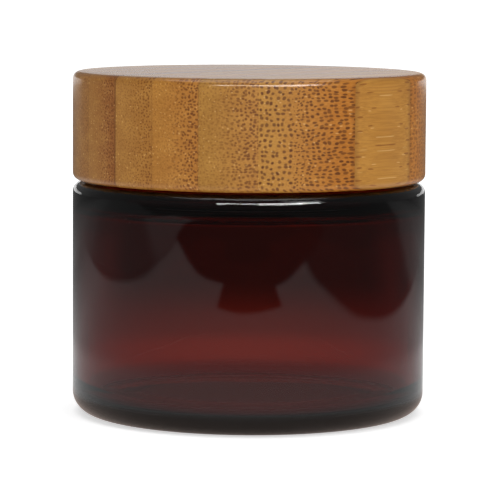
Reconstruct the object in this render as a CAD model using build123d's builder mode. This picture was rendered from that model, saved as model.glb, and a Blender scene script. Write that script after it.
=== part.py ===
from build123d import *
import math
import os

# Empty candle jar: a straight-sided glass jar with a threaded neck, closed by a turned
# bamboo lid of the same diameter. Millimetres, +Z up, origin at the centre of the face
# that the jar stands on. The front of the jar is towards -Y.

# Jar body
body_radius = 35.0
body_wall = 3.0
shoulder_z = 46.1
shoulder_round = 2.1
heel_round = 4.3
base_thickness = 3.6
push_up_height = 1.0
push_up_ramp = 3.0
bearing_inner_radius = 25.5
inner_heel_round = 4.0
inner_shoulder_round = 3.2
shoulder_wall = 3.4

# Neck finish, of the one-turn kind used on wide jars
neck_radius = 26.9
neck_height = 11.0
neck_wall = 2.5
rim_round = 1.1
neck_root_round = 0.6
thread_pitch = 25.4 / 6
thread_turns = 1.25
ridge_depth = 1.2
ridge_root_width = 2.4
ridge_crest_width = 1.2
ridge_bite = 0.4
ridge_start_z = shoulder_z + 3.3

# Bamboo lid
lid_gap = 0.35
lid_height = 21.35
lid_bottom_round = 1.4
lid_top_round = 1.4
strip_lean = -41.4
strip_seams = (-31.3, -22.0, -12.7, -3.4, 5.9, 15.1, 24.4, 34.0)
strip_margin = 1.0

# Threaded insert, glued into the bamboo
insert_clearance = 0.3
insert_wall = 1.4
insert_ceiling = 1.4
insert_recess = 0.5
rib_count = 36
rib_height = 0.4
rib_width = 1.0
lid_ridge_root_width = 2.0
lid_ridge_crest_width = 1.0
thread_play = 0.25
lid_ridge_turns = 1.25
lid_ridge_start_turn = 0.2
glue_gap = 0.5
glue_bead_inset = 1.0
glue_bead_width = 7.0
rib_to_bamboo = 0.25

# Foam sealing disc
disc_thickness = 1.5
disc_side_gap = 0.5
seal_gap = 0.05

# Heights and radii that follow from the dimensions above
rim_z = shoulder_z + neck_height
bore_radius = neck_radius - neck_wall
lid_bottom_z = shoulder_z + lid_gap
insert_bore_radius = neck_radius + ridge_depth + insert_clearance
insert_radius = insert_bore_radius + insert_wall
insert_bottom_z = lid_bottom_z + insert_recess
disc_bottom_z = rim_z + seal_gap
disc_top_z = disc_bottom_z + disc_thickness
insert_ceiling_z = disc_top_z + seal_gap
insert_top_z = insert_ceiling_z + insert_ceiling
recess_radius = insert_radius + rib_height + rib_to_bamboo
recess_ceiling_z = insert_top_z + glue_gap
ridge_middle_gap = (ridge_root_width + ridge_crest_width + lid_ridge_root_width
                    + lid_ridge_crest_width) / 4
lid_helix_z = ridge_start_z - ridge_middle_gap - thread_play

os.makedirs("parts", exist_ok=True)


def thread_ridge(root_radius, depth, root_width, crest_width, start_z, turns):
    """A helical ridge that stands out from root_radius by depth, or inwards if negative.

    It starts over the X axis. Its flanks run on a little way into the wall, so that the
    two fuse.
    """
    out_or_in = math.copysign(1, depth)
    flank = (root_width - crest_width) / 2 / abs(depth)
    foot_width = root_width + 2 * flank * ridge_bite
    with BuildPart() as ridge:
        with BuildLine() as helix:
            Helix(
                pitch=thread_pitch,
                height=turns * thread_pitch,
                radius=root_radius,
                center=(0, 0, start_z),
            )
        start = Plane(
            origin=helix.line @ 0,
            x_dir=(out_or_in, 0, 0),
            z_dir=helix.line % 0,
        )
        with BuildSketch(start):
            with BuildLine():
                Polyline(
                    (-ridge_bite, -foot_width / 2),
                    (abs(depth), -crest_width / 2),
                    (abs(depth), crest_width / 2),
                    (-ridge_bite, foot_width / 2),
                    close=True,
                )
            make_face()
        sweep(path=helix.line, is_frenet=True)
    return ridge.part


def make_glass_jar():
    """One piece of glass: base with a push-up, wall, shoulder, and a neck with its thread."""
    inner_radius = body_radius - body_wall
    ridge = thread_ridge(
        neck_radius, ridge_depth, ridge_root_width, ridge_crest_width,
        ridge_start_z, thread_turns,
    )
    with BuildPart() as glass_jar:
        with BuildSketch(Plane.XZ) as profile:
            with BuildLine():
                Polyline(
                    (0, push_up_height),
                    (bearing_inner_radius - push_up_ramp, push_up_height),
                    (bearing_inner_radius, 0),
                    (body_radius, 0),
                    (body_radius, shoulder_z),
                    (neck_radius, shoulder_z),
                    (neck_radius, rim_z),
                    (bore_radius, rim_z),
                    (bore_radius, shoulder_z - shoulder_wall),
                    (inner_radius, shoulder_z - shoulder_wall),
                    (inner_radius, base_thickness),
                    (0, base_thickness),
                    close=True,
                )
            make_face()
            rounds = (
                (body_radius, 0, heel_round),
                (body_radius, shoulder_z, shoulder_round),
                (neck_radius, shoulder_z, neck_root_round),
                (neck_radius, rim_z, rim_round),
                (bore_radius, rim_z, rim_round),
                (inner_radius, shoulder_z - shoulder_wall, inner_shoulder_round),
                (inner_radius, base_thickness, inner_heel_round),
            )
            for radius, height, rounding in rounds:
                corner = profile.vertices().sort_by_distance((radius, height, 0))[0]
                fillet(corner, rounding)
        revolve(axis=Axis.Z)
        add(ridge)
    return glass_jar.part


def make_threaded_insert():
    """Plastic cap that holds the lid's thread, with small ribs outside for the glue.

    Its ridge follows the neck's helix just below it, and starts a part of a turn up it, so
    that it stays above the insert's lower edge.
    """
    ridge = thread_ridge(
        insert_bore_radius, -ridge_depth, lid_ridge_root_width, lid_ridge_crest_width,
        lid_helix_z + lid_ridge_start_turn * thread_pitch, lid_ridge_turns,
    )
    wall_height = insert_top_z - insert_bottom_z
    with BuildPart() as insert:
        with BuildSketch(Plane.XY.offset(insert_bottom_z)):
            Circle(insert_radius)
        extrude(amount=wall_height)
        with BuildSketch(Plane.XY.offset(insert_bottom_z)):
            with PolarLocations(insert_radius, rib_count):
                Rectangle(2 * rib_height, rib_width)
        extrude(amount=wall_height)
        with BuildSketch(Plane.XY.offset(insert_bottom_z)):
            Circle(insert_bore_radius)
        extrude(amount=insert_ceiling_z - insert_bottom_z, mode=Mode.SUBTRACT)
        add(ridge, rotation=(0, 0, 360 * lid_ridge_start_turn))
    return insert.part


def make_seal_disc():
    """Loose foam disc between the jar's rim and the insert's ceiling."""
    with BuildPart() as disc:
        with BuildSketch(Plane.XY.offset(disc_bottom_z)):
            Circle(insert_bore_radius - disc_side_gap)
        extrude(amount=disc_thickness)
    return disc.part


def make_glue_ring():
    """Flat bead of glue between the insert's top and the ceiling of the bamboo recess."""
    bead_radius = insert_radius - glue_bead_inset
    with BuildPart() as bead:
        with BuildSketch(Plane.XY.offset(insert_top_z)):
            Circle(bead_radius)
            Circle(bead_radius - glue_bead_width, mode=Mode.SUBTRACT)
        extrude(amount=glue_gap)
    return bead.part


def make_lid_blank():
    """The turned lid before it is divided into its strips: a disc with a round recess."""
    with BuildPart() as blank:
        with BuildSketch(Plane.XY.offset(lid_bottom_z)):
            Circle(body_radius)
        extrude(amount=lid_height)
        fillet(blank.edges().group_by(Axis.Z)[0], lid_bottom_round)
        fillet(blank.edges().group_by(Axis.Z)[-1], lid_top_round)
        with BuildSketch(Plane.XY.offset(lid_bottom_z)):
            Circle(recess_radius)
        extrude(amount=recess_ceiling_z - lid_bottom_z, mode=Mode.SUBTRACT)
    return blank.part


def make_bamboo_strip(blank, low_side, high_side):
    """One strip of the laminate: what lies between two upright glue seams."""
    across = Plane.XY.offset(lid_bottom_z).rotated((0, 0, strip_lean))
    with BuildPart() as strip:
        add(blank)
        with BuildSketch(across):
            with Locations(((low_side + high_side) / 2, 0)):
                Rectangle(high_side - low_side, 2 * (body_radius + strip_margin))
        extrude(amount=lid_height, mode=Mode.INTERSECT)
    return strip.part


def save(part, node):
    part.label = node
    export_step(part, f"parts/{node}.step")


save(make_glass_jar(), "glass_jar")
save(make_threaded_insert(), "threaded_insert")
save(make_seal_disc(), "seal_disc")
save(make_glue_ring(), "glue_ring")

lid_blank = make_lid_blank()
lid_side = body_radius + strip_margin
strip_sides = (-lid_side,) + strip_seams + (lid_side,)
for number in range(1, len(strip_sides)):
    bamboo_strip = make_bamboo_strip(lid_blank, strip_sides[number - 1], strip_sides[number])
    save(bamboo_strip, f"bamboo_strip_{number}")
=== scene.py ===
import math

import bmesh
import bpy
from mathutils import Matrix, Vector, noise


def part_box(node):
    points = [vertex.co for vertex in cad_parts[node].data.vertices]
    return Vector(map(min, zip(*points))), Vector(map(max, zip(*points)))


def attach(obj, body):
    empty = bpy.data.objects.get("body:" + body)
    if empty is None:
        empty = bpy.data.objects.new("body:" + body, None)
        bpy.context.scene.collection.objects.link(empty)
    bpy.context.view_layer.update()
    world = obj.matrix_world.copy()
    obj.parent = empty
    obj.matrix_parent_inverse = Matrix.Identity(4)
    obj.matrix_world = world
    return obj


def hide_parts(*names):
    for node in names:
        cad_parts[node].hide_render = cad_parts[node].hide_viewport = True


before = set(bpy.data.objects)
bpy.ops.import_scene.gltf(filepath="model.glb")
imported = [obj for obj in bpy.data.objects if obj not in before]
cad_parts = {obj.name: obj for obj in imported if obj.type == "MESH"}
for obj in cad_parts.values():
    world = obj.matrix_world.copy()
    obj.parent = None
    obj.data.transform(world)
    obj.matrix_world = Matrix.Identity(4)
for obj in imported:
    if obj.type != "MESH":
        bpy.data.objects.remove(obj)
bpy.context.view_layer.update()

MM = 0.001
TAU = 2 * math.pi
TINY = 1e-6  # metres: points nearer to each other than this are one point

# ---------------------------------------------------------------- sizes, in metres
# Read from the frame.
jar_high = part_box("glass_jar")[1]
lid_low, lid_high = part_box("bamboo_strip_4")
insert_low, insert_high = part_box("threaded_insert")
disc_low, disc_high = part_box("seal_disc")
glue_low, glue_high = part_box("glue_ring")

body_radius = jar_high.x
rim_z = jar_high.z
lid_radius = body_radius
lid_bottom_z, lid_top_z = lid_low.z, lid_high.z

# The jar, as the CAD model has it.
body_wall = 3.0 * MM
shoulder_z = 46.1 * MM
shoulder_round = 2.1 * MM
shoulder_wall = 3.4 * MM
heel_round = 4.3 * MM
inner_heel_round = 4.0 * MM
inner_shoulder_round = 3.2 * MM
base_thickness = 3.6 * MM
push_up_height = 1.0 * MM
push_up_ramp = 3.0 * MM
bearing_inner_radius = 25.5 * MM
neck_radius = 26.9 * MM
bore_radius = 24.4 * MM
rim_round = 1.1 * MM
neck_root_round = 0.6 * MM

# The thread on the neck and the one in the lid.
thread_pitch = 25.4 / 6 * MM
thread_turns = 1.25
thread_depth = 1.2 * MM
neck_thread_z = shoulder_z + 3.3 * MM
neck_thread_widths = (2.4 * MM, 1.2 * MM)
lid_thread_drop = 1.9 * MM
lid_thread_z = neck_thread_z - lid_thread_drop
lid_thread_widths = (2.0 * MM, 1.0 * MM)
lid_thread_start = 0.2 * TAU
thread_fade = math.radians(24)

# The lid.
lid_bottom_round = 1.4 * MM
lid_top_round = 1.4 * MM
strip_seams = [s * MM for s in (-31.3, -22.0, -12.7, -3.4, 5.9, 15.1, 24.4, 34.0)]
strip_lean = math.radians(-41.4)
recess_radius = 30.45 * MM
recess_ceiling_z = glue_high.z
insert_bore_radius = 28.4 * MM
insert_radius = 29.8 * MM
insert_ceiling_z = disc_high.z + 0.05 * MM
glue_bead_width = 7.0 * MM
rib_count = 36
rib_width = 1.0 * MM

ACROSS = Vector((math.cos(strip_lean), math.sin(strip_lean), 0))
ALONG = Vector((-math.sin(strip_lean), math.cos(strip_lean), 0))


# ---------------------------------------------------------------- mesh helpers
def arc(centre, radius, start, end, steps=8):
    """Points (r, z) on an arc about centre, angles in degrees."""
    points = []
    for i in range(steps + 1):
        a = math.radians(start + (end - start) * i / steps)
        points.append((centre[0] + radius * math.cos(a), centre[1] + radius * math.sin(a)))
    return points


def line(start, end, steps):
    """Points on a straight run, both ends included."""
    return [
        (start[0] + (end[0] - start[0]) * i / steps, start[1] + (end[1] - start[1]) * i / steps)
        for i in range(steps + 1)
    ]


def tidy(points):
    """The same outline without points that fall on the one before."""
    kept = [points[0]]
    for p in points[1:]:
        if math.dist(p, kept[-1]) > TINY:
            kept.append(p)
    return kept


def lathe(name, outline, segments, shape=None):
    """A closed turned solid. outline runs from the axis to the axis, or round a ring.

    shape(angle, index, r, z) may return another (r, z) for a point.
    """
    outline = tidy(outline)
    ring = outline[0][0] > TINY
    bm = bmesh.new()
    rows = []
    for index, (r, z) in enumerate(outline):
        if r <= TINY:
            rows.append([bm.verts.new((0, 0, z))])
            continue
        row = []
        for s in range(segments):
            a = TAU * s / segments
            rr, zz = shape(a, index, r, z) if shape else (r, z)
            row.append(bm.verts.new((rr * math.cos(a), rr * math.sin(a), zz)))
        rows.append(row)
    pairs = list(zip(rows, rows[1:]))
    if ring:
        pairs.append((rows[-1], rows[0]))
    for low, high in pairs:
        for s in range(segments):
            t = (s + 1) % segments
            if len(low) == 1:
                bm.faces.new((low[0], high[t], high[s]))
            elif len(high) == 1:
                bm.faces.new((low[s], low[t], high[0]))
            else:
                bm.faces.new((low[s], low[t], high[t], high[s]))
    bmesh.ops.recalc_face_normals(bm, faces=bm.faces)
    return as_object(name, bm)


def as_object(name, bm):
    """Makes the mesh an object, smooth but for its sharp edges."""
    sharp = math.radians(40)
    for e in bm.edges:
        e.smooth = not (len(e.link_faces) == 2 and e.calc_face_angle(0) > sharp)
    for f in bm.faces:
        f.smooth = True
    mesh = bpy.data.meshes.new(name)
    bm.to_mesh(mesh)
    bm.free()
    piece = bpy.data.objects.new(name, mesh)
    bpy.context.scene.collection.objects.link(piece)
    return piece


def place(piece, body, slot, finish, *nodes):
    """Gives a piece its material and its body, and hides the CAD nodes that it stands for."""
    piece.data.materials.clear()
    piece.data.materials.append(finish)
    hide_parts(*nodes)
    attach(piece, body)


def ridge(angle, z, helix_z, widths, start=0.0):
    """Height, 0 to 1, of a helical ridge at a place on the wall, fading at both ends.

    The helix is at helix_z over the X axis, and the ridge begins at the angle start.
    """
    root, crest = widths
    best = 0.0
    for turn in range(3):
        along = angle + TAU * turn
        past = along - start
        left = TAU * thread_turns - past
        if past < 0 or left < 0:
            continue
        off = abs(z - helix_z - thread_pitch * along / TAU)
        rise = min(max((root / 2 - off) / ((root - crest) / 2), 0), 1)
        ends = min(past / thread_fade, left / thread_fade, 1)
        rise = rise * rise * (3 - 2 * rise)
        ends = ends * ends * (3 - 2 * ends)
        best = max(best, rise * ends)
    return best


# ---------------------------------------------------------------- node helpers
class Nodes:
    """Short forms for building a material's node tree."""

    def __init__(self, made):
        self.tree = made.node_tree
        self.tree.nodes.clear()
        self.output = self.tree.nodes.new("ShaderNodeOutputMaterial")

    def link(self, source, target):
        self.tree.links.new(source, target)

    def put(self, value, socket):
        """Links an output, or sets a constant."""
        if isinstance(value, bpy.types.NodeSocket):
            self.link(value, socket)
        else:
            socket.default_value = value

    def new(self, kind, **inputs):
        node = self.tree.nodes.new(kind)
        for name, value in inputs.items():
            self.put(value, node.inputs[name.replace("_", " ")])
        return node

    def math(self, operation, a, b=0.0, c=0.0):
        node = self.tree.nodes.new("ShaderNodeMath")
        node.operation = operation
        for value, socket in zip((a, b, c), node.inputs):
            self.put(value, socket)
        return node.outputs[0]

    def vector(self, operation, a, b=(0, 0, 0), scale=1.0):
        node = self.tree.nodes.new("ShaderNodeVectorMath")
        node.operation = operation
        self.put(a, node.inputs[0])
        self.put(b, node.inputs[1])
        if operation == "SCALE":
            node.inputs["Scale"].default_value = scale
        return node.outputs["Value"] if operation in ("DOT_PRODUCT", "LENGTH") else node.outputs[0]

    def combine(self, x=0.0, y=0.0, z=0.0):
        node = self.tree.nodes.new("ShaderNodeCombineXYZ")
        for value, socket in zip((x, y, z), node.inputs):
            self.put(value, socket)
        return node.outputs[0]

    def remap(self, value, low, high, to_low=0.0, to_high=1.0, smooth=False):
        node = self.tree.nodes.new("ShaderNodeMapRange")
        node.interpolation_type = "SMOOTHSTEP" if smooth else "LINEAR"
        for number, socket in zip((value, low, high, to_low, to_high), node.inputs):
            self.put(number, socket)
        return node.outputs[0]

    def mix(self, factor, a, b):
        """A colour between a and b."""
        node = self.tree.nodes.new("ShaderNodeMix")
        node.data_type = "RGBA"
        self.put(factor, node.inputs["Factor"])
        self.put(a, node.inputs["A"])
        self.put(b, node.inputs["B"])
        return node.outputs["Result"]

    def place(self):
        """A point's place in metres, in the shared frame at rest."""
        return self.tree.nodes.new("ShaderNodeTexCoord").outputs["Object"]

    def noise(self, vector, scale, detail=2.0, roughness=0.5):
        node = self.tree.nodes.new("ShaderNodeTexNoise")
        self.put(vector, node.inputs["Vector"])
        self.put(scale, node.inputs["Scale"])
        self.put(detail, node.inputs["Detail"])
        self.put(roughness, node.inputs["Roughness"])
        return node.outputs["Fac"]

    def split(self, vector):
        node = self.tree.nodes.new("ShaderNodeSeparateXYZ")
        self.put(vector, node.inputs[0])
        return node.outputs

    def cells(self, x, y, randomness):
        """Scattered points on a plane: the distance to the nearest, and its three randoms."""
        node = self.tree.nodes.new("ShaderNodeTexVoronoi")
        node.voronoi_dimensions = "2D"
        self.put(self.combine(x, y), node.inputs["Vector"])
        node.inputs["Scale"].default_value = 1.0
        node.inputs["Randomness"].default_value = randomness
        return node.outputs["Distance"], self.split(node.outputs["Color"])

    def lookup(self, number, values):
        """The value at a whole number, from a list of colours or of triples."""
        node = self.tree.nodes.new("ShaderNodeValToRGB")
        ramp = node.color_ramp
        ramp.interpolation = "CONSTANT"
        while len(ramp.elements) < len(values):
            ramp.elements.new(1.0)
        for i, value in enumerate(values):
            ramp.elements[i].position = i / len(values)
            ramp.elements[i].color = (*value[:3], 1.0)
        self.put(self.math("DIVIDE", self.math("ADD", number, 0.5), len(values)), node.inputs[0])
        return node.outputs["Color"]

    def randoms(self, vector):
        """Three random numbers that belong to a point."""
        node = self.tree.nodes.new("ShaderNodeTexWhiteNoise")
        self.put(vector, node.inputs["Vector"])
        return self.split(node.outputs["Color"])

    def bump(self, height, strength, distance):
        node = self.tree.nodes.new("ShaderNodeBump")
        node.inputs["Strength"].default_value = strength
        node.inputs["Distance"].default_value = distance
        self.put(height, node.inputs["Height"])
        return node.outputs[0]

    def surface(self, kind="ShaderNodeBsdfPrincipled", **inputs):
        self.link(self.new(kind, **inputs).outputs[0], self.output.inputs["Surface"])


def material(name):
    made = bpy.data.materials.new(name)
    made.use_nodes = True
    return made


def srgb(r, g, b):
    """A colour given as screen values, 0 to 255, in linear light."""
    out = []
    for v in (r, g, b):
        v /= 255
        out.append(v / 12.92 if v <= 0.04045 else ((v + 0.055) / 1.055) ** 2.4)
    return (*out, 1.0)


# ---------------------------------------------------------------- materials
def amber_glass():
    """Dark red-brown glass: clear at its surface, tinted by its thickness."""
    made = material("amber_glass")
    n = Nodes(made)
    waves = n.noise(n.place(), 60.0, 1.0)
    haze = n.noise(n.place(), 150.0, 2.0)

    # The underside is matt, fading to clear as the heel rises.
    x, y, up = n.split(n.place())
    from_axis = n.vector("LENGTH", n.combine(x, y))
    underside = n.math("MULTIPLY", n.remap(up, 1.2 * MM, 0.9 * MM),
                       n.remap(from_axis, 33.5 * MM, 31.5 * MM))
    n.surface(
        Base_Color=(1, 1, 1, 1),
        Roughness=n.math("MAXIMUM", n.remap(haze, 0.3, 0.7, 0.0, 0.02),
                         n.math("MULTIPLY", underside, 0.35)),
        IOR=1.5,
        Transmission_Weight=1.0,
        Normal=n.bump(waves, 0.15, 0.0004),
    )
    volume = n.new("ShaderNodeVolumeAbsorption", Color=(0.71, 0.22, 0.0, 1), Density=1000.0)
    n.link(volume.outputs[0], n.output.inputs["Volume"])
    return made


# The laminate's strips, from the lowest ACROSS to the highest. First how dark the bundle ends
# are on the inner side of the culm and on its outer side, and how large, where 1 is the coarse
# kind. Then the ground's tone on the inner side and on the outer side.
strips = (
    ((0.30, 0.60, 0.3), srgb(170, 120, 56), srgb(160, 108, 46)),
    ((0.20, 0.50, 0.1), srgb(164, 114, 52), srgb(156, 104, 44)),
    ((0.25, 0.55, 0.1), srgb(163, 113, 52), srgb(158, 106, 46)),
    ((0.30, 0.95, 0.2), srgb(164, 112, 48), srgb(142, 82, 30)),
    ((0.45, 0.75, 0.2), srgb(172, 119, 50), srgb(174, 117, 44)),
    ((0.30, 0.95, 0.4), srgb(184, 124, 46), srgb(188, 121, 42)),
    ((0.40, 0.90, 0.4), srgb(178, 126, 47), srgb(190, 128, 47)),
    ((0.95, 0.95, 1.0), srgb(196, 137, 48), srgb(194, 117, 26)),
    ((0.0, 0.0, 1.0), srgb(192, 133, 50), srgb(192, 133, 50)),
)
strip_bundles, strip_inner_tones, strip_outer_tones = zip(*strips)
seam_darkness = (0.2, 0.2, 0.25, 0.85, 0.2, 0.25, 0.0, 0.3)
bundle_tone, coarse_bundle_tone = srgb(114, 60, 12), srgb(102, 51, 2)
cloud_dark, cloud_light = srgb(160, 100, 34), srgb(208, 150, 68)
streak_dark, streak_light = srgb(128, 78, 26), srgb(212, 154, 72)
speck_tone = srgb(226, 178, 104)
brown_dash, pale_dash = srgb(140, 80, 24), srgb(236, 192, 122)
seam_tone = srgb(108, 62, 20)
# Painted shade for the lid's lower rounded edge.
painted_lower_edge_shade_tone = srgb(118, 72, 32)

# The usual width of a strip, and of the cells in which bundles and specks are scattered, in mm.
strip_width = 9.4
large_cell, middling_cell, fine_cell, speck_cell = 1.0, 0.72, 0.64, 0.95

# How many times closer the coarse bundles stand through the culm's wall than up it.
coarse_narrow = 1.4


def bamboo():
    """End-grain bamboo laminate: dark fibre bundles, coarse inside the culm, fine outside.

    Lengths in here are in mm.
    """
    made = material("bamboo")
    n = Nodes(made)
    spot = n.vector("SCALE", n.place(), scale=1 / MM)
    across = n.vector("DOT_PRODUCT", spot, ACROSS)
    along = n.vector("DOT_PRODUCT", spot, ALONG)
    up = n.split(spot)["Z"]

    # The bundles wander a little along the fibre, and their outlines are uneven.
    def sway(scale, amount, seed):
        at = n.combine(n.math("MULTIPLY_ADD", across, scale, seed), n.math("MULTIPLY", up, scale),
                       n.math("MULTIPLY", along, 0.03))
        return n.math("MULTIPLY", n.math("SUBTRACT", n.noise(at, 1.0, 1.0), 0.5), amount)

    side = n.math("ADD", across, n.math("ADD", sway(0.35, 1.0, 0.0), sway(2.6, 0.15, 40.0)))
    rise = n.math("ADD", up, n.math("ADD", sway(0.35, 1.0, 20.0), sway(2.6, 0.15, 60.0)))

    # Which strip, and how far across it from the inner side of the culm.
    number, start = 0.0, strip_seams[0] / MM - strip_width
    before = start
    seam_line = 0.0
    for seam, darkness in zip(strip_seams, seam_darkness):
        seam = seam / MM
        past = n.math("GREATER_THAN", across, seam)
        number = n.math("ADD", past, number)
        start = n.math("MULTIPLY_ADD", past, seam - before, start)
        before = seam
        if darkness:
            gap = n.math("ABSOLUTE", n.math("SUBTRACT", across, seam))
            seam_line = n.math("MAXIMUM", n.remap(gap, 0.05, 0.25, darkness, 0.0), seam_line)
    part = n.math("DIVIDE", n.math("SUBTRACT", across, start), strip_width)
    inner_dark, outer_dark, bulk = n.split(n.lookup(number, strip_bundles))
    shifted = n.math("MULTIPLY_ADD", number, 31.7, side)

    def dots(cell, radius, present, randomness=0.8, narrow=1.0):
        """Bundle ends about cell apart, and narrow times less through the culm's wall.

        radius may vary over the surface.
        """
        distance, own = n.cells(n.math("MULTIPLY", shifted, narrow / cell),
                                n.math("DIVIDE", rise, cell), randomness)
        size = n.math("MULTIPLY", n.remap(own[1], 0, 1, 0.85, 1.15), radius)
        shape = n.math("DIVIDE", n.math("MULTIPLY", distance, cell), n.math("MAXIMUM", size, 0.01))
        dot = n.remap(shape, 0.6, 1.15, 1.0, 0.0, smooth=True)
        kept = n.math("LESS_THAN", own[0], present)
        return n.math("MULTIPLY", n.math("MULTIPLY", dot, kept), n.remap(own[2], 0, 1, 0.7, 1.0))

    patchy = n.noise(n.combine(n.math("MULTIPLY", side, 0.5), n.math("MULTIPLY", rise, 0.5)),
                     1.0, 2.0)
    present = n.remap(patchy, 0.3, 0.42, 0.88, 1.0)
    large = dots(large_cell, n.remap(part, 0.42, 0.66, 0.33, 0.0), present, 0.6, coarse_narrow)
    middling = dots(middling_cell, n.remap(part, 0.38, 0.6, 0.0, 0.265), present, 0.55,
                    coarse_narrow)
    growth = n.math("MULTIPLY_ADD", bulk, 0.8, 0.85)
    fine_radius = n.math("MULTIPLY", n.remap(part, 0.1, 0.9, 0.15, 0.22), growth)
    fine = dots(fine_cell, fine_radius, present)
    coarse = n.math("GREATER_THAN", bulk, 0.9)
    dot = n.remap(coarse, 0, 1, fine, n.math("MAXIMUM", large, middling))
    darkness = n.remap(part, 0.25, 0.85, inner_dark, outer_dark, smooth=True)
    faded = n.math("MULTIPLY", coarse, n.remap(along, -2, 10, 0.0, 0.4, smooth=True))
    darkness = n.math("MULTIPLY", darkness, n.math("SUBTRACT", 1.0, faded))

    # The outermost strip is cut along its fibres: short dashes, and pale open vessels.
    def dashes(depth, thickness, height, spacing, seed):
        step = n.math("MULTIPLY_ADD", up, 1 / spacing, seed)
        own = n.randoms(n.combine(n.math("FLOOR", step), seed))
        off = n.math("SUBTRACT", n.math("FRACT", step), n.remap(own[0], 0, 1, 0.25, 0.75))
        level = n.math("MULTIPLY", off, spacing / height)
        reach = n.math("SUBTRACT", side, n.math("MULTIPLY_ADD", own[1], 0.25, depth))
        inwards = n.math("DIVIDE", reach, thickness)
        shape = n.math("ADD", n.math("MULTIPLY", level, level),
                       n.math("MULTIPLY", inwards, inwards))
        return n.remap(shape, 0.4, 1.3, 1.0, 0.0, smooth=True)

    last = n.math("GREATER_THAN", across, strip_seams[-1] / MM)
    brown = n.math("MAXIMUM", dashes(34.15, 0.17, 0.2, 2.3, 5.3),
                   dashes(34.72, 0.1, 0.15, 3.7, 1.7))
    pale = dashes(34.8, 0.08, 0.11, 2.6, 3.9)
    brown = n.math("MULTIPLY", brown, last)
    pale = n.math("MULTIPLY", pale, last)

    # Ground colour, cloudy and faintly streaked along the fibres.
    ground = n.mix(n.remap(part, 0.1, 1.0, smooth=True), n.lookup(number, strip_inner_tones),
                   n.lookup(number, strip_outer_tones))
    cloud = n.noise(n.combine(n.math("MULTIPLY", across, 0.22), n.math("MULTIPLY", up, 0.3),
                              n.math("MULTIPLY", along, 0.12)), 1.0, 3.0)
    ground = n.mix(n.remap(cloud, 0.35, 0.75, 0.0, 0.3), ground, cloud_dark)
    ground = n.mix(n.remap(cloud, 0.55, 0.25, 0.0, 0.28), ground, cloud_light)
    streak = n.noise(n.combine(n.math("MULTIPLY", side, 3.2), n.math("MULTIPLY", rise, 3.2),
                               n.math("MULTIPLY", along, 0.05)), 1.0, 3.0, 0.65)
    ground = n.mix(n.remap(streak, 0.45, 0.75, 0.0, 0.35), ground, streak_dark)
    ground = n.mix(n.remap(streak, 0.5, 0.3, 0.0, 0.25), ground, streak_light)

    # The bundles on the ground, then pale specks between them, dashes, seams and painted shade on
    # the lower edge.
    dark = n.mix(coarse, bundle_tone, coarse_bundle_tone)
    colour = n.mix(n.math("MULTIPLY", dot, darkness), ground, dark)
    distance, own = n.cells(n.math("DIVIDE", shifted, speck_cell),
                            n.math("DIVIDE", rise, speck_cell), 1.0)
    speck = n.math("MULTIPLY", n.remap(distance, 0.09, 0.17, 1.0, 0.0),
                   n.math("LESS_THAN", own[0], 0.3))
    speck = n.math("MULTIPLY", speck, n.math("SUBTRACT", 0.55, n.math("MULTIPLY", dot, 0.4)))
    colour = n.mix(speck, colour, speck_tone)
    colour = n.mix(n.math("MULTIPLY", brown, 0.75), colour, brown_dash)
    colour = n.mix(n.math("MULTIPLY", pale, 0.45), colour, pale_dash)
    colour = n.mix(seam_line, colour, seam_tone)
    lid_bottom = lid_bottom_z / MM
    # Painted shade: the colour darkens towards the bottom of the lid's lower rounded edge.
    painted_lower_edge_shade = n.remap(up, lid_bottom + 0.2, lid_bottom + 1.8, 0.25, 0)
    colour = n.mix(painted_lower_edge_shade, colour, painted_lower_edge_shade_tone)

    grain = n.math("SUBTRACT", n.math("MULTIPLY", streak, 0.5), n.math("MULTIPLY", dot, 0.5))
    n.surface(
        Base_Color=colour,
        Roughness=n.remap(streak, 0.2, 0.8, 0.45, 0.62),
        Specular_IOR_Level=0.12,
        Coat_Weight=0.75,
        Coat_Roughness=0.16,
        Normal=n.bump(grain, 0.3, 0.00005),
    )
    return made


def black_plastic():
    """Moulded polypropylene with a faint texture."""
    made = material("insert_plastic")
    n = Nodes(made)
    fine = n.noise(n.place(), 3500.0, 3.0, 0.6)
    broad = n.noise(n.place(), 120.0, 2.0)
    n.surface(
        Base_Color=n.mix(broad, srgb(28, 27, 27), srgb(38, 37, 36)),
        Roughness=n.remap(fine, 0.3, 0.7, 0.36, 0.5),
        Normal=n.bump(fine, 0.2, 0.00003),
    )
    return made


def white_foam():
    """Closed-cell foam: white, matt, with tiny cells."""
    made = material("seal_foam")
    n = Nodes(made)
    cells = n.tree.nodes.new("ShaderNodeTexVoronoi")
    n.link(n.place(), cells.inputs["Vector"])
    cells.inputs["Scale"].default_value = 2600.0
    n.surface(
        Base_Color=n.mix(n.remap(cells.outputs["Distance"], 0, 0.7), srgb(238, 238, 234),
                         srgb(222, 222, 216)),
        Roughness=0.8,
        Subsurface_Weight=0.15,
        Subsurface_Scale=0.002,
        Normal=n.bump(cells.outputs["Distance"], 0.3, 0.0001),
    )
    return made


def hot_glue():
    """Set hot-melt glue, milky and slightly yellow."""
    made = material("glue")
    n = Nodes(made)
    lumps = n.noise(n.place(), 300.0, 2.0)
    n.surface(
        Base_Color=n.mix(lumps, srgb(232, 222, 190), srgb(214, 200, 160)),
        Roughness=n.remap(lumps, 0.3, 0.7, 0.25, 0.4),
        Subsurface_Weight=0.3,
        Subsurface_Scale=0.002,
        Normal=n.bump(lumps, 0.3, 0.0003),
    )
    return made


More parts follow.
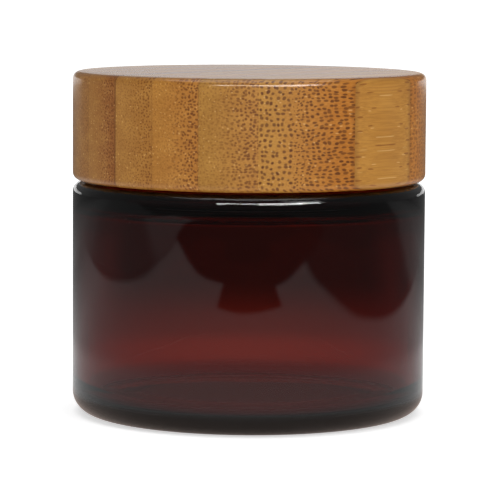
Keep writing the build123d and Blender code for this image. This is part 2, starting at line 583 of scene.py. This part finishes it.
# ---------------------------------------------------------------- pieces
def make_jar():
    """The jar: one outline, turned, with the thread raised on its neck."""
    inner = body_radius - body_wall
    shoulder_under = shoulder_z - shoulder_wall
    ramp_top = bearing_inner_radius - push_up_ramp
    ramp_top_soft, ramp_top_drop = 1.5 * MM, 0.06 * MM
    ramp_foot_soft, ramp_foot_rise = 0.6 * MM, 0.16 * MM
    outline = [(0, push_up_height)]
    outline += line((4 * MM, push_up_height), (ramp_top - ramp_top_soft, push_up_height), 4)
    outline += line((ramp_top, push_up_height - ramp_top_drop),
                    (bearing_inner_radius - ramp_foot_soft, ramp_foot_rise), 6)
    outline += line((bearing_inner_radius, 0), (body_radius - heel_round, 0), 6)
    heel = (body_radius - heel_round, heel_round)
    outline += arc(heel, heel_round, -90, 0, 18)
    outline += line((body_radius, heel_round), (body_radius, shoulder_z - shoulder_round), 12)
    outline += arc((body_radius - shoulder_round, shoulder_z - shoulder_round), shoulder_round,
                   0, 90, 12)
    outline += line((body_radius - shoulder_round, shoulder_z),
                    (neck_radius + neck_root_round, shoulder_z), 5)
    outline += arc((neck_radius + neck_root_round, shoulder_z + neck_root_round),
                   neck_root_round, 270, 180, 5)
    neck_start = len(tidy(outline))
    outline += line((neck_radius, shoulder_z + neck_root_round),
                    (neck_radius, rim_z - rim_round), 72)
    neck_end = len(tidy(outline))
    outline += arc((neck_radius - rim_round, rim_z - rim_round), rim_round, 0, 90, 8)
    outline += arc((bore_radius + rim_round, rim_z - rim_round), rim_round, 90, 180, 8)
    outline += line((bore_radius, rim_z - rim_round), (bore_radius, shoulder_under), 8)
    outline += line((bore_radius, shoulder_under),
                    (inner - inner_shoulder_round, shoulder_under), 3)
    outline += arc((inner - inner_shoulder_round, shoulder_under - inner_shoulder_round),
                   inner_shoulder_round, 90, 0, 12)
    outline += line((inner, shoulder_under - inner_shoulder_round),
                    (inner, base_thickness + inner_heel_round), 10)
    outline += arc((inner - inner_heel_round, base_thickness + inner_heel_round),
                   inner_heel_round, 0, -90, 14)
    outline += line((inner - inner_heel_round, base_thickness), (3 * MM, base_thickness), 6)
    outline += [(0, base_thickness)]

    def shape(angle, index, r, z):
        if neck_start <= index < neck_end:
            r += thread_depth * ridge(angle, z, neck_thread_z, neck_thread_widths)
        return r, z

    return lathe("jar_glass", outline, 384, shape)


def make_insert():
    """The threaded insert: ribbed outside, threaded inside."""
    bottom, top = insert_low.z, insert_high.z
    top_round, lip_round, ceiling_round = 0.5 * MM, 0.3 * MM, 0.4 * MM
    rib_height = insert_high.x - insert_radius
    outline = [(0, top)]
    outline += line((6 * MM, top), (insert_radius - top_round - 0.1 * MM, top), 5)
    ribs_start = len(tidy(outline))
    outline += arc((insert_radius - top_round, top - top_round), top_round, 80, 0, 5)
    outline += line((insert_radius, top - top_round), (insert_radius, bottom + lip_round), 12)
    ribs_end = len(tidy(outline))
    outline += arc((insert_radius - lip_round, bottom + lip_round), lip_round, 0, -90, 4)
    outline += arc((insert_bore_radius + lip_round, bottom + lip_round), lip_round, -90, -180, 4)
    thread_start = len(tidy(outline))
    outline += line((insert_bore_radius, bottom + lip_round),
                    (insert_bore_radius, insert_ceiling_z - ceiling_round), 76)
    thread_end = len(tidy(outline))
    outline += arc((insert_bore_radius - ceiling_round, insert_ceiling_z - ceiling_round),
                   ceiling_round, 0, 90, 4)
    outline += line((insert_bore_radius - ceiling_round, insert_ceiling_z),
                    (4 * MM, insert_ceiling_z), 6)
    outline += [(0, insert_ceiling_z)]
    half_rib = rib_width / 2 / insert_radius

    def shape(angle, index, r, z):
        if ribs_start < index < ribs_end:
            step = TAU / rib_count
            off = abs((angle + step / 2) % step - step / 2)
            r += rib_height * min(max((half_rib * 1.5 - off) / half_rib, 0), 1)
        if thread_start <= index < thread_end:
            rise = ridge(angle, z, lid_thread_z, lid_thread_widths, lid_thread_start)
            r -= thread_depth * rise
        return r, z

    return lathe("insert_moulding", outline, rib_count * 16, shape)


def make_seal():
    """The foam disc, with soft edges and the ring that the jar's rim has pressed in it."""
    radius = disc_high.x
    low, high = disc_low.z, disc_high.z
    edge = 0.45 * MM
    dent_radius = (neck_radius + bore_radius) / 2
    dent_depth, dent_half_width = 0.22 * MM, 0.9 * MM
    outline = [(0, low)]
    outline += line((3 * MM, low), (radius - edge, low), 60)
    outline += arc((radius - edge, low + edge), edge, -90, 0, 6)
    outline += arc((radius - edge, high - edge), edge, 0, 90, 6)
    outline += line((radius - edge, high), (4 * MM, high), 6)
    outline += [(0, high)]

    def shape(angle, index, r, z):
        if z < low + 0.01 * MM:
            off = (r - dent_radius) / dent_half_width
            z += dent_depth * math.exp(-off * off)
        return r, z

    return lathe("seal_foam_disc", outline, 192, shape)


def make_glue():
    """The flattened bead of glue above the insert."""
    low, high = glue_low.z, glue_high.z
    outer = glue_high.x
    inner = outer - glue_bead_width
    unevenness = 0.7 * MM
    edge = (high - low) / 2
    outline = arc((inner + edge, low + edge), edge, 270, 90, 6)
    outline += arc((outer - edge, low + edge), edge, 90, -90, 6)

    def shape(angle, index, r, z):
        sway = noise.noise(Vector((math.cos(angle) * 3, math.sin(angle) * 3, r * 900)))
        grow = unevenness * (sway - 0.6)
        return r + (grow if r > (inner + outer) / 2 else -grow), z

    return lathe("glue_bead", outline, 128, shape)


def lid_blank():
    """The turned lid as one mesh, before it is cut into strips."""
    cutter_round, chamfer = 0.5 * MM, 0.4 * MM
    outline = [(0, recess_ceiling_z)]
    outline += line((5 * MM, recess_ceiling_z), (recess_radius - cutter_round, recess_ceiling_z), 5)
    outline += arc((recess_radius - cutter_round, recess_ceiling_z - cutter_round), cutter_round,
                   90, 0, 4)
    outline += line((recess_radius, recess_ceiling_z - cutter_round),
                    (recess_radius, lid_bottom_z + chamfer), 6)
    outline += line((recess_radius, lid_bottom_z + chamfer),
                    (recess_radius + chamfer, lid_bottom_z), 1)
    outline += line((recess_radius + chamfer, lid_bottom_z),
                    (lid_radius - lid_bottom_round, lid_bottom_z), 3)
    outline += arc((lid_radius - lid_bottom_round, lid_bottom_z + lid_bottom_round),
                   lid_bottom_round, -90, 0, 12)
    outline += line((lid_radius, lid_bottom_z + lid_bottom_round),
                    (lid_radius, lid_top_z - lid_top_round), 16)
    outline += arc((lid_radius - lid_top_round, lid_top_z - lid_top_round), lid_top_round,
                   0, 90, 12)
    outline += line((lid_radius - lid_top_round, lid_top_z), (4 * MM, lid_top_z), 8)
    outline += [(0, lid_top_z)]
    return lathe("lid_blank", outline, 512)


def make_strip(blank, number, low, high):
    """One strip: the blank between two upright cuts, with its glued faces closed."""
    bm = bmesh.new()
    bm.from_mesh(blank.data)
    for cut, normal in ((low, -ACROSS), (high, ACROSS)):
        if cut is None:
            continue
        result = bmesh.ops.bisect_plane(
            bm, geom=bm.verts[:] + bm.edges[:] + bm.faces[:], dist=1e-7,
            plane_co=ACROSS * cut, plane_no=normal, clear_outer=True,
        )
        edges = [e for e in result["geom_cut"] if isinstance(e, bmesh.types.BMEdge)]
        bmesh.ops.contextual_create(bm, geom=edges)
    bmesh.ops.recalc_face_normals(bm, faces=bm.faces)
    return as_object(f"lid_strip_{number}", bm)


# ---------------------------------------------------------------- stage
def make_camera():
    """A long lens a little above the lid, looking slightly down."""
    data = bpy.data.cameras.new("camera")
    data.lens = 216
    data.sensor_width = 36
    data.clip_start, data.clip_end = 0.01, 50
    camera = bpy.data.objects.new("camera", data)
    bpy.context.scene.collection.objects.link(camera)
    aside, distance, height = (v * body_radius for v in (0.008, 17.0, 2.675))
    pitch, roll = math.radians(-5.89), math.radians(0.37)
    camera.matrix_world = (
        Matrix.Translation((aside, -distance, height))
        @ Matrix.Rotation(math.pi / 2 + pitch, 4, "X")
        @ Matrix.Rotation(roll, 4, "Z")
    )
    bpy.context.scene.camera = camera


def flat(name, finish, size, at, turn=(0, 0, 0)):
    """A flat rectangle for the stage."""
    bm = bmesh.new()
    bmesh.ops.create_grid(bm, x_segments=1, y_segments=1, size=0.5)
    bmesh.ops.scale(bm, vec=(size[0], size[1], 1), verts=bm.verts)
    piece = as_object(name, bm)
    piece.location = at
    piece.rotation_euler = turn
    piece.data.materials.append(finish)
    return piece


def glow(name, strength):
    """A plain white emitting material for the stage."""
    made = material(name)
    Nodes(made).surface("ShaderNodeEmission", Color=(1, 1, 1, 1), Strength=strength)
    return made


def only_in_reflections(piece):
    """A card that gloss and glass see, and nothing else does."""
    piece.visible_camera = False
    piece.visible_diffuse = False
    piece.visible_shadow = False


def studio_table():
    """What gloss and glass see of the table: a white sheet round the jar, a dimmer room past it.

    Brightness is painted by place on the table, in metres, from the jar's axis.
    """
    made = material("table_in_reflections")
    n = Nodes(made)
    x, y = n.split(n.place())[:2]

    def inside(value, low, high, soft):
        """1 between low and high, 0 outside, over an edge soft wide on either side."""
        above = n.remap(value, low - soft, low + soft, smooth=True)
        below = n.remap(value, high + soft, high - soft, smooth=True)
        return n.math("MULTIPLY", above, below)

    def patch(base, level, x_span, y_span, soft):
        """base, but level in a rectangle."""
        mask = n.math("MULTIPLY", inside(x, *x_span, soft), inside(y, *y_span, soft))
        return n.remap(mask, 0, 1, base, level)

    def sheet(base, level, x_span, near, far):
        """base, but level on a sheet of cloth that fades out at its far side."""
        mask = n.math("MULTIPLY", inside(x, *x_span, 0.012),
                      n.remap(y, near - 0.012, near + 0.012, smooth=True))
        mask = n.math("MULTIPLY", mask, n.remap(y, far + 0.09, far - 0.07, smooth=True))
        return n.remap(mask, 0, 1, base, level)

    # The room: dim, with a lighter left side, and fading away behind the jar.
    room, dark = 0.10, 0.07
    level = patch(room, 0.17, (-3, -0.28), (-0.3, 3), 0.03)
    level = patch(level, 0.3, (-0.48, -0.28), (-0.45, -0.18), 0.03)
    level = patch(level, n.remap(y, 0.28, 0.42, 0.2, 0.1), (-2, 2), (0.15, 3), 0.03)

    # A dark lane behind the jar, wider further back.
    lane = n.math("MULTIPLY_ADD", y, 0.12, 0.04)
    beside = n.math("SUBTRACT", n.math("ABSOLUTE", x), lane)
    lane_mask = n.math("MULTIPLY", n.remap(beside, 0.015, -0.015, smooth=True),
                       n.remap(y, 0.10, 0.14, smooth=True))
    level = n.remap(lane_mask, 0, 1, level, dark)

    # The white sheet under the jar, and painted dark patches for the dark things that stand in
    # front of it.
    level = sheet(level, 0.47, (-0.28, 0.20), -0.288, 0.153)
    level = patch(level, dark, (-0.077, 0.084), (-0.4, -0.226), 0.007)
    level = patch(level, dark, (-0.29, 0.32), (-0.8, -0.286), 0.01)

    # Brighter close to the jar, with painted shade right beside it and under it, and a painted glow
    # through the glass there.
    from_axis = n.vector("LENGTH", n.place())
    level = n.math("MULTIPLY", level, n.remap(from_axis, 0.10, 0.135, 1.45, 1.0, smooth=True))
    level = n.math("MULTIPLY", level, n.remap(from_axis, 0.036, 0.056, 0.7, 1.0, smooth=True))
    under = n.remap(from_axis, 0.036, 0.028, smooth=True)
    level = n.remap(under, 0, 1, level, 0.32)
    tint = n.mix(n.remap(from_axis, 0.056, 0.036), (1, 1, 1, 1), (1, 0.82, 0.74, 1))
    n.surface("ShaderNodeEmission", Color=tint, Strength=level)
    return made


def lamp(name, direction, distance, size, radiance):
    """A soft rectangular lamp, aimed a little above the middle of the closed jar.

    direction is (azimuth from the front, elevation), in degrees.
    """
    aim = Vector((0, 0, 0.04))
    azimuth, elevation = (math.radians(v) for v in direction)
    way = Vector((
        math.sin(azimuth) * math.cos(elevation),
        -math.cos(azimuth) * math.cos(elevation),
        math.sin(elevation),
    ))
    data = bpy.data.lights.new(name, "AREA")
    data.shape = "RECTANGLE"
    data.size, data.size_y = size
    data.energy = radiance * math.pi * size[0] * size[1]
    made = bpy.data.objects.new(name, data)
    made.location = aim + way * distance
    made.rotation_euler = way.to_track_quat("Z", "Y").to_euler()
    made.visible_camera = False
    bpy.context.scene.collection.objects.link(made)
    return made


def make_stage():
    """White floor, pale surroundings and soft lamps."""
    scene = bpy.context.scene
    scene.view_settings.view_transform = "Standard"
    world = bpy.data.worlds.new("studio")
    world.use_nodes = True
    tree = world.node_tree
    # The surroundings are white to the camera, dim in gloss, and a soft light for the rest.
    path = tree.nodes.new("ShaderNodeLightPath")
    back = tree.nodes["Background"]
    lit = tree.nodes.new("ShaderNodeMix")
    seen = tree.nodes.new("ShaderNodeMix")
    lit.inputs["A"].default_value = 0.3
    lit.inputs["B"].default_value = 0.15
    seen.inputs["B"].default_value = 1.0
    back.inputs["Color"].default_value = (1, 1, 1, 1)
    tree.links.new(path.outputs["Is Glossy Ray"], lit.inputs["Factor"])
    tree.links.new(path.outputs["Is Camera Ray"], seen.inputs["Factor"])
    tree.links.new(lit.outputs["Result"], seen.inputs["A"])
    tree.links.new(seen.outputs["Result"], back.inputs["Strength"])
    scene.world = world

    white = material("floor_white")
    n = Nodes(white)
    n.surface(Base_Color=(0.85, 0.85, 0.85, 1), Roughness=0.9, Specular_IOR_Level=0.1,
              Emission_Color=(1, 1, 1, 1), Emission_Strength=0.6)
    floor = flat("floor", white, (14, 14), (0, 0, 0))
    floor.visible_glossy = False
    floor.visible_transmission = False

    table = flat("table_card", studio_table(), (8, 8), (0, 0, -0.4 * MM))
    only_in_reflections(table)
    horizon = flat("backdrop_card", glow("backdrop_glow", 1.12), (2.2, 0.3), (0, 1.3, 0.02),
                   (math.pi / 2, 0, 0))
    only_in_reflections(horizon)
    horizon.visible_transmission = False

    sun = bpy.data.lights.new("overhead", "SUN")
    sun.energy = 1.4
    sun.angle = math.radians(60)
    overhead = bpy.data.objects.new("overhead", sun)
    scene.collection.objects.link(overhead)

    lamp("key", (40, 35), 1.5, (0.6, 0.6), 1.8)
    for name, direction, size in (
        ("window_1", (-18, 20), (0.2, 0.6)),
        ("window_2", (-5.5, 22), (0.65, 0.3)),
        ("window_3", (21, 20), (1.0, 0.75)),
        ("window_4", (40, 25), (0.5, 0.5)),
    ):
        window = lamp(name, direction, 2.0, size, 13)
        window.visible_diffuse = False
        window.visible_transmission = False


# ---------------------------------------------------------------- build
make_camera()
make_stage()

place(make_jar(), "jar", "amber_glass", amber_glass(), "glass_jar")
place(make_seal(), "seal", "seal_foam", white_foam(), "seal_disc")
place(make_insert(), "lid", "insert_plastic", black_plastic(), "threaded_insert")
place(make_glue(), "lid", "glue", hot_glue(), "glue_ring")

bamboo_material = bamboo()
blank_lid = lid_blank()
cuts = [None] + strip_seams + [None]
for number in range(1, len(cuts)):
    strip = make_strip(blank_lid, number, cuts[number - 1], cuts[number])
    place(strip, "lid", "bamboo", bamboo_material, f"bamboo_strip_{number}")
bpy.data.objects.remove(blank_lid)
